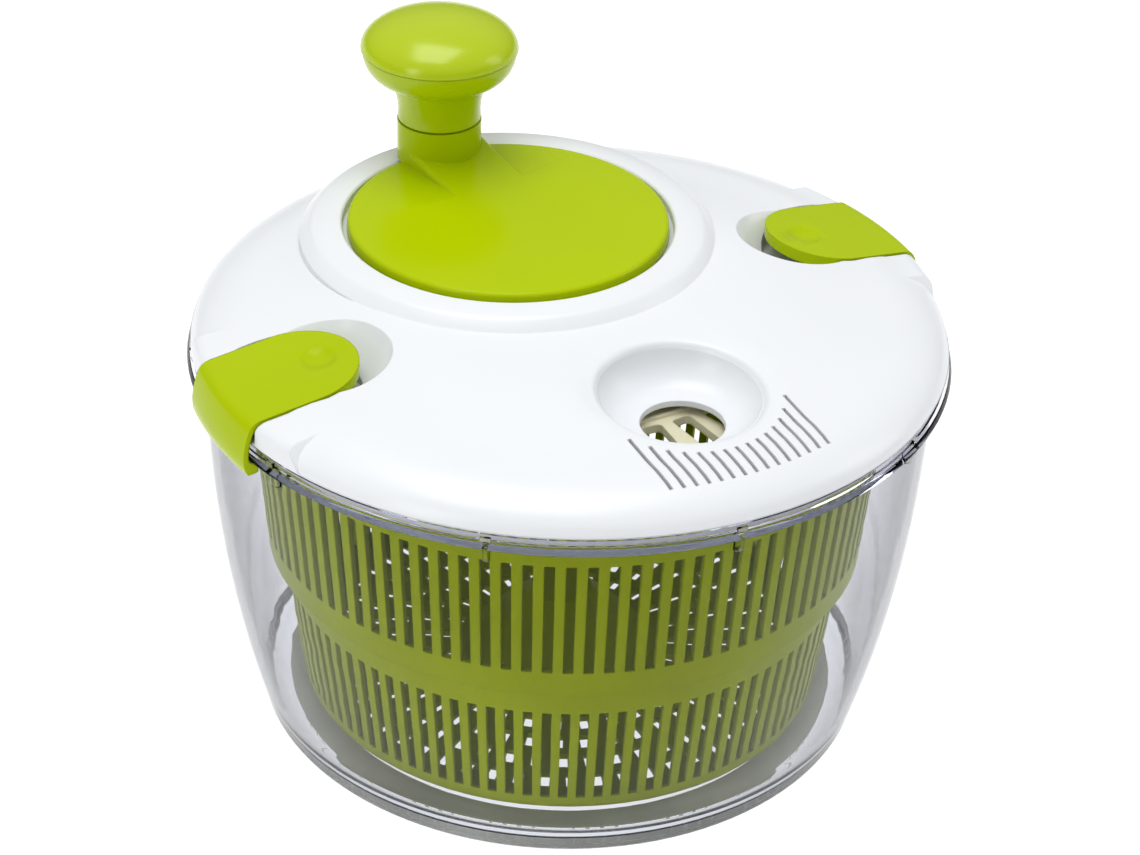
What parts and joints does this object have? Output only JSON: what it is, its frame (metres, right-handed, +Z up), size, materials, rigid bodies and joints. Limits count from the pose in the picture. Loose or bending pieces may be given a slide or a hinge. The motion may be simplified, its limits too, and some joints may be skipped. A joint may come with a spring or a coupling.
{
  "type": "salad spinner",
  "caption": "Salad spinner: clear bowl with a spinning slotted basket, geared white lid with a crank knob, a filling funnel, drain slots and side clips.",
  "frame": {"origin": "on the table under the centre of the bowl", "axes": "+Z up; the two side clips lie on the X axis; the crank and its knob are on +Y and the funnel with its drain slots on -Y"},
  "size_m": [0.2454, 0.2416, 0.2027],
  "materials": {
    "clear_bowl": "clear moulded plastic, polished, faint violet edge tint",
    "grip_rubber": "matt soft grey",
    "basket_green": "slightly translucent olive green, satin",
    "lid_white": "white, satin gloss",
    "cream_plastic": "cream, fine matt",
    "lime_gloss": "lime green, high gloss",
    "bush_white": "natural white, low sheen",
    "steel": "bright, fine brushed"
  },
  "bodies": {
    "bowl_body": {"bowl": "clear_bowl", "foot_ring": "grip_rubber"},
    "lid_body": {"lid": "lid_white", "gear_cover": "cream_plastic", "cover_screws": "steel", "crank_bush": "bush_white", "pinion_bush": "bush_white", "left_clip_pin": "steel", "right_clip_pin": "steel"},
    "crank_body": {"crank_disc": "lime_gloss", "crank_gear": "bush_white", "crank_washer": "steel", "crank_screw": "steel", "knob_spindle": "steel"},
    "knob_body": {"knob_grip": "lime_gloss", "knob_cap": "lime_gloss"},
    "drive_body": {"pinion": "bush_white", "drive_plate": "cream_plastic", "drive_washer": "steel", "drive_screw": "steel"},
    "basket_body": {"basket": "basket_green"},
    "left_clip_body": {"left_clip": "lime_gloss"},
    "right_clip_body": {"right_clip": "lime_gloss"}
  },
  "joints": [
    {"name": "lid_lift", "type": "slide", "parent": "bowl_body", "child": "lid_body", "axis": [0, 0, 1], "range_m": [0, 0.3]},
    {"name": "crank_spin", "type": "hinge", "parent": "lid_body", "child": "crank_body", "pos_m": [0, 0.042, 0.148], "axis": [0, 0, 1], "continuous": true},
    {"name": "knob_spin", "type": "hinge", "parent": "crank_body", "child": "knob_body", "pos_m": [0, 0.0912, 0.175], "axis": [0, 0, 1], "continuous": true},
    {"name": "drive_spin", "type": "hinge", "parent": "lid_body", "child": "drive_body", "pos_m": [0, 0, 0.134], "axis": [0, 0, 1], "continuous": true},
    {"name": "basket_lift", "type": "slide", "parent": "drive_body", "child": "basket_body", "axis": [0, 0, 1], "range_m": [-0.15, 0]},
    {"name": "left_clip_press", "type": "hinge", "parent": "lid_body", "child": "left_clip_body", "pos_m": [-0.1135, 0, 0.1366], "axis": [0, 1, 0], "range_deg": [0, 11.2], "stiffness_Nm_per_rad": 0.6, "springref_deg": -5.73},
    {"name": "right_clip_press", "type": "hinge", "parent": "lid_body", "child": "right_clip_body", "pos_m": [0.1135, 0, 0.1366], "axis": [0, -1, 0], "range_deg": [0, 11.2], "stiffness_Nm_per_rad": 0.6, "springref_deg": -5.73}
  ],
  "couplings": [
    {"joint": "drive_spin", "follows": "crank_spin", "ratio": -3},
    {"joint": "basket_lift", "follows": "lid_lift", "ratio": -0.5}
  ]
}
